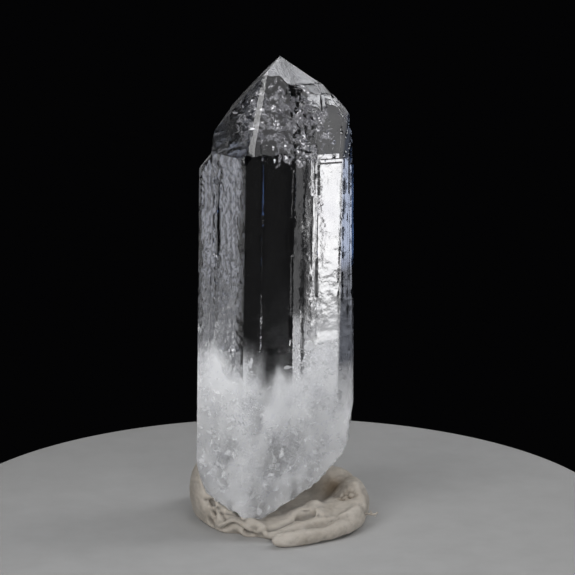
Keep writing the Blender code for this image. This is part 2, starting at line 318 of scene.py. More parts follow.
def new_group(name: str, inputs: tuple, outputs: tuple) -> tuple[Graph, dict, Node]:
    """Start a shader node group.

    Args:
        name: The group's name.
        inputs: (name, socket type, value) for each input.
        outputs: (name, socket type) for each output.

    Returns:
        The graph of its inside, its inputs by name and its output node.
    """
    tree = bpy.data.node_groups.new(name, "ShaderNodeTree")
    for label, kind, value in inputs:
        socket = tree.interface.new_socket(label, in_out="INPUT", socket_type=kind)
        socket.default_value = value
    for label, kind in outputs:
        tree.interface.new_socket(label, in_out="OUTPUT", socket_type=kind)
    start, end = tree.nodes.new("NodeGroupInput"), tree.nodes.new("NodeGroupOutput")
    return Graph(tree), {label: start.outputs[label] for label, _, _ in inputs}, end


def make_grain_group() -> NodeTree:
    """Make the group that every bump shares: two sizes of noise, stretched along the three axes.

    Returns:
        A group with the inputs Stretch, Coarse, Fine and Share, and the output Height.
    """
    graph, given, end = new_group(
        "surface_grain",
        (("Stretch", "NodeSocketVector", (1.0, 1.0, 1.0)), ("Coarse", "NodeSocketFloat", 400.0),
         ("Fine", "NodeSocketFloat", 2000.0), ("Share", "NodeSocketFloat", 0.4)),
        (("Height", "NodeSocketFloat"),),
    )
    place = graph.add("TexCoord").outputs["Object"]
    stretched = graph.vector("MULTIPLY", place, given["Stretch"])
    coarse = graph.add("TexNoise", Vector=stretched, Scale=given["Coarse"], Detail=2.0)
    fine = graph.add("TexNoise", Vector=stretched, Scale=given["Fine"], Detail=3.0)
    mixed = graph.add("Mix", given["Share"], data_type="FLOAT")
    # The inputs for numbers are the second and the third, from 0.
    graph.feed(mixed, 2, coarse.outputs[0])
    graph.feed(mixed, 3, fine.outputs[0])
    graph.feed(end, "Height", mixed.outputs[0])
    return graph.tree


def make_tone_group() -> NodeTree:
    """Make the group that gives a finish its cloudy change of colour.

    Returns:
        A group with the inputs Size, Low, High and Contrast, and the outputs Color and Mask.
    """
    graph, given, end = new_group(
        "cloudy_tone",
        (("Size", "NodeSocketFloat", 150.0), ("Low", "NodeSocketColor", (0.5, 0.5, 0.5, 1.0)),
         ("High", "NodeSocketColor", (0.8, 0.8, 0.8, 1.0)), ("Contrast", "NodeSocketFloat", 2.0)),
        (("Color", "NodeSocketColor"), ("Mask", "NodeSocketFloat")),
    )
    place = graph.add("TexCoord").outputs["Object"]
    cloud = graph.add("TexNoise", Vector=place, Scale=given["Size"], Detail=4.0, Roughness=0.6).outputs[0]
    centred = graph.reckon("SUBTRACT", cloud, 0.5)
    mask = graph.reckon("MULTIPLY_ADD", centred, given["Contrast"], 0.5, clamped=True)
    graph.feed(end, "Color", graph.blend(mask, given["Low"], given["High"]))
    graph.feed(end, "Mask", mask)
    return graph.tree


@dataclass(frozen=True)
class Finish:
    """What every finish shares: a name, two tones, a grain and how it is made."""

    name: str
    low: Triple
    high: Triple
    tone_size: float = 150.0
    contrast: float = 2.0
    coarse: float = 400.0
    fine: float = 2000.0
    bump_mm: float = 0.05
    stretch: Triple = (1.0, 1.0, 1.0)

    def start(self, groups: dict) -> tuple[Material, Graph, Node, Node]:
        """Make the material with its tone and its bump.

        Args:
            groups: The shared node groups by name.

        Returns:
            The material, its graph, its Principled shader and its tone node.
        """
        material = bpy.data.materials.new(self.name)
        material.use_nodes = True
        graph = Graph(material.node_tree)
        shader = material.node_tree.nodes["Principled BSDF"]
        tone = graph.add("Group", node_tree=groups["tone"], Size=self.tone_size, Low=(*self.low, 1.0),
                         High=(*self.high, 1.0), Contrast=self.contrast)
        grain = graph.add("Group", node_tree=groups["grain"], Stretch=self.stretch, Coarse=self.coarse,
                          Fine=self.fine)
        bump = graph.add("Bump", Height=grain.outputs["Height"], Strength=1.0, Distance=self.bump_mm * MM)
        graph.feed(shader, "Base Color", tone.outputs["Color"])
        graph.feed(shader, "Normal", bump.outputs[0])
        for name, value in self.even().items():
            shader.inputs[name].default_value = value
        return material, graph, shader, tone

    def even(self) -> dict[str, Any]:
        """Return what is the same all over the surface, by the shader's own sockets."""
        return {}

    def make(self, groups: dict) -> Material:
        """Return the material."""
        return self.start(groups)[0]


@dataclass(frozen=True)
class ClearQuartz(Finish):
    """Clear quartz: smooth, bending light as quartz does, with a trace of grey and a milk in its depth.

    Lengths are in millimetres, and a scale is in grains to the metre. The cloud's fields shape the milk:
    how its upper limit is lowered and rolls, over what depth it thickens, the finer wisps in it, and how
    it gains towards the foot.
    """

    ior: float = 1.544
    smooth: float = 0.0
    etched: float = 0.07
    frosted: float = 0.13
    plain_bump: float = 0.2
    passed: Triple = (0.9, 0.91, 0.93)
    depth_tone: Triple = (0.91, 0.92, 0.94)
    depth_density: float = 6.0
    milk: Triple = (0.988, 0.987, 0.987)
    cloud_density: float = 520.0
    cloud_drop: float = 9.0
    cloud_roll: float = 18.0
    roll_scale: float = 150.0
    cloud_fade: float = 8.0
    right_fade: float = 1.8
    right_side: Pair = (2.0, 7.0)
    cloud_power: float = 2.0
    wisp_scale: float = 420.0
    wisp_squeeze: Triple = (1.0, 1.0, 0.5)
    wisp_range: Pair = (0.4, 0.6)
    wisp_floor: float = 0.12
    foot_range: Pair = (14.0, 5.0)
    foot_gain: float = 2.4
    window_edge: Pair = (0.5, 1.3)

    def even(self) -> dict[str, Any]:
        """Return what is the same all over the surface."""
        return {"Transmission Weight": 1.0, "IOR": self.ior}

    def make(self, groups: dict) -> Material:
        """Return the material. Light reaches what is inside the crystal straight through its surface."""
        material, graph, shader, tone = self.start(groups)
        # The base colour is multiplied by the painted reflection and painted shade noted on the right
        # plates.
        tinted = graph.blend(1.0, tone.outputs["Color"], graph.mark("painted_reflection_tint", "Color"), "MULTIPLY")
        graph.feed(shader, "Base Color", tinted)
        frost = graph.mark("frost", "Fac")
        rough = graph.mapped(tone.outputs["Mask"], wanted=(self.smooth, self.etched))
        graph.feed(shader, "Roughness", graph.reckon("MULTIPLY_ADD", frost, self.frosted, rough))
        bump = shader.inputs["Normal"].links[0].from_node
        graph.feed(bump, "Strength", graph.mapped(frost, wanted=(self.plain_bump, 1.0)))
        shadow = graph.add("LightPath").outputs["Is Shadow Ray"]
        passed = graph.add("BsdfTransparent", Color=(*self.passed, 1.0))
        mixed = graph.add("MixShader", shadow, shader.outputs[0], passed.outputs[0])
        end = material.node_tree.nodes["Material Output"]
        graph.feed(end, "Surface", mixed.outputs[0])
        depth = graph.add("VolumeAbsorption", Color=(*self.depth_tone, 1.0), Density=self.depth_density)
        milk = graph.add("VolumeScatter", Color=(*self.milk, 1.0), Density=self.cloud(graph))
        graph.feed(end, "Volume", graph.add("AddShader", depth.outputs[0], milk.outputs[0]).outputs[0])
        return material

    def limit(self, graph: Graph, across: Socket) -> Socket:
        """Return the height of the cloud's upper limit at each place, before it rolls."""
        (left, first), *between, (right, last) = CLOUD_LINE
        share = graph.mapped(across, (left * MM, right * MM))
        line = graph.add("FloatCurve", Value=share)
        curve = line.mapping.curves[0]
        for x, height in between:
            curve.points.new((x - left) / (right - left), height / CLOUD_SCALE)
        curve.points[0].location = (0.0, first / CLOUD_SCALE)
        curve.points[-1].location = (1.0, last / CLOUD_SCALE)
        line.mapping.update()
        return graph.reckon("MULTIPLY_ADD", line.outputs[0], CLOUD_SCALE * MM, -self.cloud_drop * MM)

    def cloud(self, graph: Graph) -> Socket:
        """Return how thickly fine inclusions scatter light at each place in the crystal's depth."""
        place = graph.add("TexCoord").outputs["Object"]
        split = graph.add("SeparateXYZ", Vector=place)
        across, up = split.outputs["X"], split.outputs["Z"]
        roll = graph.add("TexNoise", Vector=place, Scale=self.roll_scale, Detail=4.0, Roughness=0.55)
        limit = self.limit(graph, across)
        top = graph.reckon("MULTIPLY_ADD", roll.outputs[0], self.cloud_roll * MM, limit)
        depth = self.cloud_fade * MM
        sides = tuple(side * MM for side in self.right_side)
        over = graph.mapped(across, sides, (depth, self.right_fade * depth))
        full = graph.mapped(graph.reckon("SUBTRACT", top, up), (0.0, over))
        full = graph.reckon("POWER", full, self.cloud_power)
        squeezed = graph.vector("MULTIPLY", place, self.wisp_squeeze)
        wisps = graph.add("TexNoise", Vector=squeezed, Scale=self.wisp_scale, Detail=3.0, Distortion=0.6)
        wisps = graph.mapped(wisps.outputs[0], self.wisp_range, (self.wisp_floor, 1.0))
        thick = graph.reckon("MULTIPLY", full, wisps)
        foot = graph.mapped(up, tuple(height * MM for height in self.foot_range), (1.0, self.foot_gain))
        thick = graph.reckon("MULTIPLY", thick, foot)
        for centre, radii, share in CLOUD_WINDOWS:
            moved = graph.vector("SUBTRACT", place, Vector(centre) * MM)
            scaled = graph.vector("DIVIDE", moved, Vector(radii) * MM)
            far = graph.add("VectorMath", scaled, operation="LENGTH").outputs["Value"]
            clear = graph.mapped(far, self.window_edge, (1.0 - share, 1.0))
            thick = graph.reckon("MULTIPLY", thick, clear)
        return graph.reckon("MULTIPLY", thick, self.cloud_density)


@dataclass(frozen=True)
class Milk(Finish):
    """The fine white inclusions that cloud the foot of the crystal."""

    roughness: float = 0.5
    shine: float = 0.2

    def even(self) -> dict[str, Any]:
        """Return what is the same all over the surface."""
        return {"Roughness": self.roughness, "Specular IOR Level": self.shine}


@dataclass(frozen=True)
class Crack(Finish):
    """The silvery inner face of a small crack."""

    roughness: float = 0.18
    metallic: float = 0.75

    def even(self) -> dict[str, Any]:
        """Return what is the same all over the surface."""
        return {"Roughness": self.roughness, "Metallic": self.metallic}


@dataclass(frozen=True)
class Putty(Finish):
    """Cream mounting putty: matt, faintly soft inside, greyer in its hollows by painted shade, and
    browner in a soiled hollow and rough patch.
    """

    roughness: float = 0.62
    # The pointiness range of the painted shade in the hollows, and its darkest share.
    shade_pointiness: Pair = (0.44, 0.515)
    painted_hollow_shade: float = 0.42
    soiled: Triple = (0.66, 0.55, 0.42)
    softness: float = 0.08
    soft_reach: Triple = (0.0012, 0.0009, 0.0007)

    def even(self) -> dict[str, Any]:
        """Return what is the same all over the surface."""
        return {"Roughness": self.roughness, "Subsurface Weight": self.softness,
                "Subsurface Radius": self.soft_reach}

    def make(self, groups: dict) -> Material:
        """Return the material."""
        material, graph, shader, tone = self.start(groups)
        # Painted shade: the hollows, found by pointiness, are darkened towards grey.
        hollow = graph.add("NewGeometry").outputs["Pointiness"]
        depth = graph.mapped(hollow, self.shade_pointiness, (self.painted_hollow_shade, 1.0))
        shaded = graph.blend(1.0, tone.outputs["Color"], depth, "MULTIPLY")
        soiled = graph.blend(graph.mark("soil", "Fac"), shaded, (*self.soiled, 1.0), "MULTIPLY")
        graph.feed(shader, "Base Color", soiled)
        return material


@dataclass(frozen=True)
class PaleFloor(Finish):
    """The plain pale floor."""

    roughness: float = 0.7

    def even(self) -> dict[str, Any]:
        """Return what is the same all over the surface."""
        return {"Roughness": self.roughness}


@dataclass(frozen=True)
class SoftLight:
    """One soft studio lamp: a glowing rectangle that faces the specimen.

    azimuth is 0 behind the specimen, 90 at its right and -90 at its left. Angles are in degrees.
    """

    name: str
    azimuth: float
    elevation: float
    width: float
    height: float
    radiance: float
    colour: Triple = (1.0, 1.0, 1.0)
    distance: float = 0.34

    def place(self, aim: Vector) -> None:
        """Put the lamp in the scene, facing a point."""
        light = bpy.data.lights.new(self.name, "AREA")
        light.shape = "RECTANGLE"
        light.size = self.width
        light.size_y = self.height
        light.color = self.colour
        light.energy = self.radiance * math.pi * self.width * self.height
        lamp = link_new(self.name, light)
        azimuth, elevation = math.radians(self.azimuth), math.radians(self.elevation)
        away = Vector((math.sin(azimuth) * math.cos(elevation), math.cos(azimuth) * math.cos(elevation),
                       math.sin(elevation)))
        lamp.location = aim + away * self.distance
        lamp.rotation_euler = away.to_track_quat("Z", "Y").to_euler()
        lamp.visible_camera = False


@dataclass(frozen=True)
class Studio:
    """The camera, the lamps and the pale floor."""

    aim: Triple = (0.00155, 0.0, 0.0395)
    elevation: float = 14.0
    distance: float = 0.45
    half_view: float = 0.047
    sensor: float = 36.0
    floor_radius: float = 0.058
    floor_depth: float = 0.003
    floor_rim: float = 0.0008
    room_tone: Triple = (0.0012, 0.0012, 0.0014)
    volume_bounces: int = 6
    volume_step: float = 0.1
    lamps: tuple[SoftLight, ...] = (
        SoftLight("left_panel", -106.0, -9.8, 0.06, 0.057, 0.86),
        SoftLight("left_fill", -112.0, -15.0, 0.22, 0.14, 0.32, distance=0.36),
        SoftLight("right_back_panel", 54.0, -9.0, 0.11, 0.065, 0.28, (0.84, 0.87, 1.0)),
        SoftLight("right_back_fill", 54.0, -20.0, 0.27, 0.20, 0.12, (0.9, 0.92, 1.0), distance=0.36),
        SoftLight("right_front_panel", 142.0, -16.4, 0.13, 0.13, 0.09),
        SoftLight("tip_panel", -133.0, -33.0, 0.12, 0.08, 0.5),
        SoftLight("strip_lamp", 151.0, 68.0, 0.08, 0.08, 4.4),
        SoftLight("blue_panel", 18.0, -10.1, 0.03, 0.03, 0.4, (0.25, 0.45, 1.0)),
        SoftLight("tip_back_panel", 8.0, -38.0, 0.16, 0.12, 0.07),
        SoftLight("tip_side_panel", -108.0, -35.0, 0.07, 0.09, 0.14),
        SoftLight("top_back_panel", 10.0, 72.0, 0.22, 0.18, 1.5),
        SoftLight("front_left_panel", -138.0, 31.0, 0.19, 0.18, 4.6),
        SoftLight("front_fill", 172.0, 7.0, 0.20, 0.15, 3.7),
        SoftLight("right_panel", 72.0, 36.0, 0.14, 0.16, 5.0),
    )

    def place_camera(self) -> None:
        """Put the camera at the photograph's viewing angle."""
        tilt = math.radians(self.elevation)
        camera = bpy.data.cameras.new("camera")
        camera.sensor_width = self.sensor
        camera.lens = self.sensor * self.distance / (2.0 * self.half_view)
        eye = link_new("camera", camera)
        ahead = Vector((0.0, math.cos(tilt), -math.sin(tilt)))
        eye.location = Vector(self.aim) - ahead * self.distance
        eye.rotation_euler = (math.pi / 2.0 - tilt, 0.0, 0.0)
        bpy.context.scene.camera = eye

    def lay_floor(self, material: Material) -> None:
        """Lay the round pale floor, with a softened rim."""
        bpy.ops.mesh.primitive_cylinder_add(
            vertices=160, radius=self.floor_radius, depth=self.floor_depth,
            location=(0.0, 0.0, -self.floor_depth / 2.0),
        )
        floor = bpy.context.active_object
        floor.name = "floor"
        bpy.ops.object.transform_apply(location=True)
        apply_modifier(floor, "BEVEL", width=self.floor_rim, segments=3)
        floor.data.shade_smooth()
        floor.data.materials.append(material)

    def dim_the_room(self) -> None:
        """Give the room a near-black tone, so that the lamps alone light the specimen."""
        world = bpy.data.worlds.new("studio")
        world.use_nodes = True
        world.node_tree.nodes["Background"].inputs["Color"].default_value = (*self.room_tone, 1.0)
        bpy.context.scene.world = world
        bpy.context.scene.cycles.volume_bounces = self.volume_bounces
        bpy.context.scene.cycles.volume_step_rate = self.volume_step
        bpy.context.scene.view_settings.view_transform = "Standard"

    def build(self, floor: Material) -> None:
        """Set up the whole studio."""
        self.dim_the_room()
        self.place_camera()
        self.lay_floor(floor)
        for lamp in self.lamps:
            lamp.place(Vector(self.aim))


@dataclass(frozen=True)
class QuartzCrystal:
    """The clear crystal's skin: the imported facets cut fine, with the relief of each face on them.

    Sizes are in millimetres. depth is the remesh depth, which sets how fine the facets are cut. Each
    height of relief is followed by its pattern. A band is (low, high, softness) along the crystal, and a
    start is where something begins and the way over which it grows. A face whose normal leans up or down
    by more than its tilt belongs to the point or to the foot.
    """

    depth: int = 8
    reach: float = 0.985
    flat_within: float = math.radians(0.8)
    smooth_within: float = math.radians(24.0)
    point_tilt: float = 0.3
    foot_tilt: float = 0.25
    swell: float = 0.06
    swell_grain: Grain = Grain((9.0, 9.0, 13.0), 3.1)
    peel: float = 0.012
    peel_grain: Grain = Grain((1.9, 5.0, 1.5), 11.7)
    striation: float = 0.005
    striation_grain: Grain = Grain((7.0, 9.0, 0.55), 23.9)
    marks: float = 0.07
    mark_grain: Grain = Grain((0.8, 3.0, 0.9), 5.3)
    mark_band: Triple = (-26.0, -15.0, 5.0)
    pits: float = 0.05
    pit_grain: Grain = Grain((0.9, 4.0, 1.1), 8.8)
    pit_band: Triple = (-55.0, -27.0, 9.0)
    cut_level: float = 0.35
    ridges: float = 0.06
    ridge_grain: Grain = Grain((0.75, 3.0, 11.0), 17.0)
    ripple: float = 0.03
    ripple_grain: Grain = Grain((1.2, 5.0, 0.6), 71.0)
    ripple_start: Pair = (-0.2, 1.5)
    foot_rough: float = 0.22
    foot_coarse: Grain = Grain((1.3, 1.3, 1.3), 31.0)
    foot_fine: Grain = Grain((0.5, 0.5, 0.5), 37.0)
    fine_share: float = 0.4
    point_share: float = 0.35
    rim_rough: float = 0.12
    rim_height: float = 3.0
    rim_grain: Grain = Grain((0.9, 0.9, 0.7), 43.0)
    rim_shells: Grain = Grain((1.4, 1.4, 1.1), 45.0)
    shell_width: float = 0.5
    shell_share: float = 1.6
    chips: float = 0.12
    chip_grain: Grain = Grain((0.9, 0.9, 1.6), 41.0)
    chip_level: float = 0.05
    chipped_front: float = 3.0
    edge_bend: float = 0.975
    frost_grain: Grain = Grain((1.6, 1.6, 2.4), 95.0)
    frost_start: Pair = (-0.7, 0.9)
    left_frost: float = 0.5
    plates_start: Pair = (11.0, 0.3)
    tint_start: Pair = (19.0, 9.0)
    high_start: Pair = (43.0, 4.0)
    # The painted shade low on the right plates, and the blue painted reflection higher up.
    painted_shade_low: Triple = (0.03, 0.033, 0.042)
    painted_reflection_high: Triple = (0.19, 0.24, 0.38)

    def skin(self) -> Object:
        """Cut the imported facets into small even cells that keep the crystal's edges."""
        obj = copy_of_node("quartz_crystal", "crystal_skin")
        in_edit_mode(obj, lambda: bpy.ops.mesh.dissolve_limited(angle_limit=self.flat_within))
        apply_modifier(obj, "REMESH", mode="SHARP", octree_depth=self.depth, scale=self.reach,
                       sharpness=1.0, use_remove_disconnected=True)
        return obj

    def face_frame(self, points: np.ndarray, normals: np.ndarray) -> tuple[np.ndarray, np.ndarray]:
        """Express points on the crystal in its own directions.

        Args:
            points: Rows of points in millimetres.
            normals: The unit normal at each.

        Returns:
            Rows of (across the face, out of the face, along the crystal) and the zone of each point.
        """
        turn = np.array(Matrix.Rotation(-LEAN, 3, "Y"))
        local = (points - np.array(TIP)) @ turn.T
        facing = normals @ turn.T
        azimuth = np.arctan2(facing[:, 0], -facing[:, 1])
        step = np.round((azimuth - BROAD) / SIXTH)
        snapped = BROAD + step * SIXTH
        across = local[:, 0] * np.cos(snapped) + local[:, 1] * np.sin(snapped)
        out = local[:, 0] * np.sin(snapped) - local[:, 1] * np.cos(snapped)
        round_it = (Zone.BROAD_FACE, Zone.RIGHT_FACE, Zone.REAR_FACE, Zone.REAR_FACE, Zone.REAR_FACE,
                    Zone.LEFT_FACE)
        zone = np.array([side.value for side in round_it])[np.mod(step, len(round_it)).astype(int)]
        zone[facing[:, 2] > self.point_tilt] = Zone.POINT.value
        zone[facing[:, 2] < -self.foot_tilt] = Zone.FOOT.value
        return np.stack([across, out, local[:, 2]], 1), zone

    def relief(self, place: np.ndarray, zone: np.ndarray) -> np.ndarray:
        """Return how far the skin stands out at each point.

        Args:
            place: Rows of (across, out, along) in millimetres.
            zone: The zone of each point.

        Returns:
            The height of the relief in millimetres.
        """
        height = self.swell * self.swell_grain.smooth(place)
        height += self.peel * self.peel_grain.smooth(place)
        height += self.striation * self.striation_grain.smooth(place)
        left = zone == Zone.LEFT_FACE.value
        part, up = place[left], place[left, 2]
        worms = np.clip(self.mark_grain.crests(part) - self.cut_level, 0.0, 1.0)
        mosaic = self.pit_grain.cuts(part, self.cut_level) / self.cut_level
        height[left] += (self.marks * window(up, *self.mark_band) * worms
                         - self.pits * window(up, *self.pit_band) * mosaic)
        right = zone == Zone.RIGHT_FACE.value
        height[right] += self.ridges * (self.ridge_grain.crests(place[right]) - 0.5)
        broad = zone == Zone.BROAD_FACE.value
        beside = climb(place[broad, 0], *self.ripple_start)
        height[broad] += self.ripple * beside * self.ripple_grain.smooth(place[broad])
        foot = zone == Zone.FOOT.value
        height[foot] += self.foot_rough * self.foot_coarse.smooth(place[foot])
        height[foot] += self.fine_share * self.foot_rough * self.foot_fine.smooth(place[foot])
        height[zone == Zone.POINT.value] *= self.point_share
        return height

    def rim(self, points: np.ndarray) -> np.ndarray:
        """Return the roughness of the faces just above the broken foot, in millimetres."""
        x, _, z = points.T
        low = FOOT_LOW[1] + np.where(x < FOOT_LOW[0], *FOOT_RISE) * np.abs(x - FOOT_LOW[0])
        near = 1.0 - climb(z, low, self.rim_height)
        shells = self.rim_shells.cuts(points, self.shell_width)
        return self.rim_rough * near * (self.rim_grain.smooth(points) - self.shell_share * shells)

    def bend(self, mesh: Mesh, normals: np.ndarray) -> np.ndarray:
        """Return how well each point's normal agrees with the faces round it, from 1 where it is flat."""
        loops = np.empty(len(mesh.loops), np.int32)
        mesh.loops.foreach_get("vertex_index", loops)
        owner = np.repeat(np.arange(len(mesh.polygons)), [len(face.vertices) for face in mesh.polygons])
        agree = np.ones(len(normals))
        np.minimum.at(agree, loops, (rows_of(mesh.polygons, "normal")[owner] * normals[loops]).sum(1))
        return agree

    def carve(self, obj: Object) -> None:
        """Move the skin's points by the relief, and chip its edges."""
        points, normals = points_of(obj.data), rows_of(obj.data.vertices, "normal")
        place, zone = self.face_frame(points, normals)
        height = self.relief(place, zone) + self.rim(points)
        edge = (self.bend(obj.data, normals) < self.edge_bend) & (points[:, 1] < self.chipped_front)
        nicked = np.clip(self.chip_grain.smooth(points[edge]) - self.chip_level, 0.0, 1.0)
        height[edge] -= self.chips * nicked
        move_points(obj.data, points + normals * height[:, None])
        self.frost(obj, place, zone, self.frost_grain.smooth(points))
        self.painted_reflection_tint(obj, points)

    def frost(self, obj: Object, place: np.ndarray, zone: np.ndarray,
              patches: np.ndarray) -> None:
        """Note where the skin is faintly frosted, for its finish.

        Args:
            obj: The skin.
            place: Rows of (across, out, along) in millimetres.
            zone: The zone of each point.
            patches: Noise that breaks the frost up.
        """
        broad = (zone == Zone.BROAD_FACE.value) * climb(place[:, 0], *self.frost_start)
        left = (zone == Zone.LEFT_FACE.value) * self.left_frost
        foot = (zone == Zone.FOOT.value) * 1.0
        amount = np.clip(np.maximum.reduce([broad, left, foot]) * (0.75 + 0.5 * patches), 0.0, 1.0)
        note(obj, "frost", "FLOAT", "value", amount)

    def painted_reflection_tint(self, obj: Object, points: np.ndarray) -> None:
        """Note the painted reflection and shade on the thin plates at the right: near-black painted shade
        that turns to a blue painted reflection higher up. It is gone near the foot.
        """
        x, y, z = points.T
        away = BROAD + SIXTH
        across = x - TIP[0] + (TIP[2] - z) * math.tan(LEAN)
        out = across * math.sin(away) - (y - TIP[1]) * math.cos(away)
        amount = climb(out, *self.plates_start) * climb(z, *self.tint_start)
        low, high = np.array(self.painted_shade_low), np.array(self.painted_reflection_high)
        tint = low + climb(z, *self.high_start)[:, None] * (high - low)
        rows = np.ones((len(points), 4))
        rows[:, :3] += amount[:, None] * (tint - 1.0)
        note(obj, "painted_reflection_tint", "FLOAT_COLOR", "color", rows)

    def build(self, material: Material) -> None:
        """Model and dress the crystal's skin."""
        obj = self.skin()
        self.carve(obj)
        select_only(obj)
        bpy.ops.object.shade_smooth_by_angle(angle=self.smooth_within)
        finish_piece(obj, material, "quartz", "quartz_crystal")


@dataclass(frozen=True)
class Inclusions:
    """Many small shapes inside the crystal, made as one piece.

    Sizes are in millimetres. margin is how far inside the crystal each place lies at least, and
    clearance is what is left between a shape and the crystal's surface.
    """

    name: str
    count: int
    smallest: float
    largest: float
    margin: float
    seed: int
    clearance: float = 0.2

    def density(self, points: np.ndarray) -> np.ndarray:
        """Return how thickly the shapes lie at each point, from 0 to 1."""
        return np.ones(len(points))

    def reach(self) -> tuple[Triple, Triple]:
        """Return the lowest and highest corner of the region that the shapes lie in."""
        return (-13.5, -10.5, 2.5), (12.6, 12.2, 46.0)

    def pattern(self) -> tuple[np.ndarray, np.ndarray]:
        """Model one shape, about 2 mm across. Returns its points and its triangles."""
        bpy.ops.mesh.primitive_cone_add(vertices=3, radius1=1.0, radius2=0.0, depth=1.4)
        return self.taken_apart(bpy.context.active_object)

    def scales(self, rng: np.random.Generator) -> np.ndarray:
        """Return the size of every shape along its own three axes, as rows."""
        sizes = self.smallest + (self.largest - self.smallest) * rng.random(self.count) ** 2
        return np.repeat(sizes[:, None], 3, 1)

    def taken_apart(self, obj: Object) -> tuple[np.ndarray, np.ndarray]:
        """Cut a shape into triangles and return its points and triangles, removing the object."""
        in_edit_mode(obj, lambda: bpy.ops.mesh.quads_convert_to_tris())
        points = points_of(obj.data)
        faces = np.array([tuple(face.vertices) for face in obj.data.polygons])
        bpy.data.objects.remove(obj, do_unlink=True)
        return points, faces

    def room_at(self, solid: BVHTree, place: Vector) -> float:
        """Return how far inside a solid a place lies, or 0 where it is outside or within the margin."""
        away = solid.find_nearest(place)[3]
        if away <= self.margin:
            return 0.0
        ahead = Vector((0.13, 0.21, 0.97))
        normal = solid.ray_cast(place, ahead)[1]
        return away if normal is not None and normal.dot(ahead) > 0.0 else 0.0

    def turns(self, rng: np.random.Generator) -> np.ndarray:
        """Return a turn at random for every shape, each as three rows."""
        spins = rng.normal(size=(self.count, 4))
        w, x, y, z = (spins / np.linalg.norm(spins, axis=1, keepdims=True)).T
        return np.stack([
            np.stack([1 - 2 * (y * y + z * z), 2 * (x * y - w * z), 2 * (x * z + w * y)], 1),
            np.stack([2 * (x * y + w * z), 1 - 2 * (x * x + z * z), 2 * (y * z - w * x)], 1),
            np.stack([2 * (x * z - w * y), 2 * (y * z + w * x), 1 - 2 * (x * x + y * y)], 1),
        ], 1)

    def map_cells(self, mesh: Mesh, faces: int) -> None:
        """Give every shape a cell of the piece's map, with each of its triangles across that cell."""
        side = math.ceil(math.sqrt(self.count))
        cell = np.arange(self.count)
        base = np.stack([cell % side, cell // side], 1)
        mapped = (base[:, None, None, :] + np.array(CELL_CORNERS)[None, None]) / side
        spread = np.broadcast_to(mapped, (self.count, faces, 3, 2))
        layer = mesh.uv_layers.new(name="shape_cells")
        layer.uv.foreach_set("vector", spread.astype(np.float32).ravel())

    def scatter(self) -> tuple[np.ndarray, np.ndarray]:
        """Find a place inside the crystal for every shape.

        Returns:
            The places as rows, and how far each is from the crystal's surface.
        """
        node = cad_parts["quartz_crystal"].data
        solid = BVHTree.FromPolygons([vert.co / MM for vert in node.vertices],
                                     [tuple(face.vertices) for face in node.polygons])
        rng = np.random.default_rng(self.seed)
        low, high = self.reach()
        found, rooms = [], []
        while len(found) < self.count:
            tries = rng.uniform(low, high, (3 * self.count, 3))
            tries = tries[rng.random(len(tries)) < self.density(tries)]
            for row in tries:
                room = self.room_at(solid, Vector(row))
                if room > 0.0:
                    found.append(row)
                    rooms.append(room)
        return np.array(found[: self.count]), np.array(rooms[: self.count])

    def build(self, material: Material) -> None:
        """Model and dress the piece, with every shape made small enough for the room at its place."""
        centres, room = self.scatter()
        shape, faces = self.pattern()
        rng = np.random.default_rng(self.seed + 1)
        turns = self.turns(rng)
        sized = shape[None] * self.scales(rng)[:, None, :]
        widest = np.linalg.norm(sized, axis=2).max(1)
        sized *= np.minimum(1.0, (room - self.clearance) / widest)[:, None, None]
        points = np.einsum("nij,nkj->nki", turns, sized) + centres[:, None, :]
        every = faces[None] + (np.arange(self.count) * len(shape))[:, None, None]
        mesh = bpy.data.meshes.new(self.name)
        mesh.from_pydata(points.reshape(-1, 3), [], every.reshape(-1, 3).tolist())
        self.map_cells(mesh, len(faces))
        finish_piece(link_new(self.name, mesh), material, "quartz")


@dataclass(frozen=True)
class MilkCloud(Inclusions):
    """The milky foot of the crystal: fine white grains, thick below and thinning upwards.

    top raises the cloud's upper limit. The limit rolls up and down in broad and in small waves, and the
    wisps in the cloud close up below the first height of filled, over the way that follows it.
    """

    top: float = 0.0
    drop: float = 2.0
    broad_roll: float = 5.5
    broad_grain: Grain = Grain((6.0, 7.0, 8.0), 2.0)
    small_roll: float = 2.0
    small_grain: Grain = Grain((2.0, 2.5, 4.0), 7.0)
    thickens_over: float = 11.0
    power: float = 1.7
    wisp_grain: Grain = Grain((2.2, 3.0, 5.0), 13.0)
    wisp_level: float = 0.62
    wisp_swing: float = 0.75
    wisp_floor: float = 0.12
    filled: Pair = (16.0, 14.0)

    def density(self, points: np.ndarray) -> np.ndarray:
        """Return how thick the cloud is at each point, from 0 to 1."""
        x, _, z = points.T
        line = np.interp(x, *zip(*CLOUD_LINE)) + self.top - self.drop
        line += (self.broad_roll * self.broad_grain.smooth(points)
                 + self.small_roll * self.small_grain.smooth(points))
        full = fade(z, line, self.thickens_over) ** self.power
        wisps = self.wisp_level + self.wisp_swing * self.wisp_grain.smooth(points)
        wisps = np.clip(wisps, self.wisp_floor, 1.0)
        full *= wisps + (1.0 - wisps) * fade(z, *self.filled)
        for centre, radii, share in CLOUD_WINDOWS:
            full *= 1.0 - share * np.exp(-squared_way(points, centre, radii))
        return full


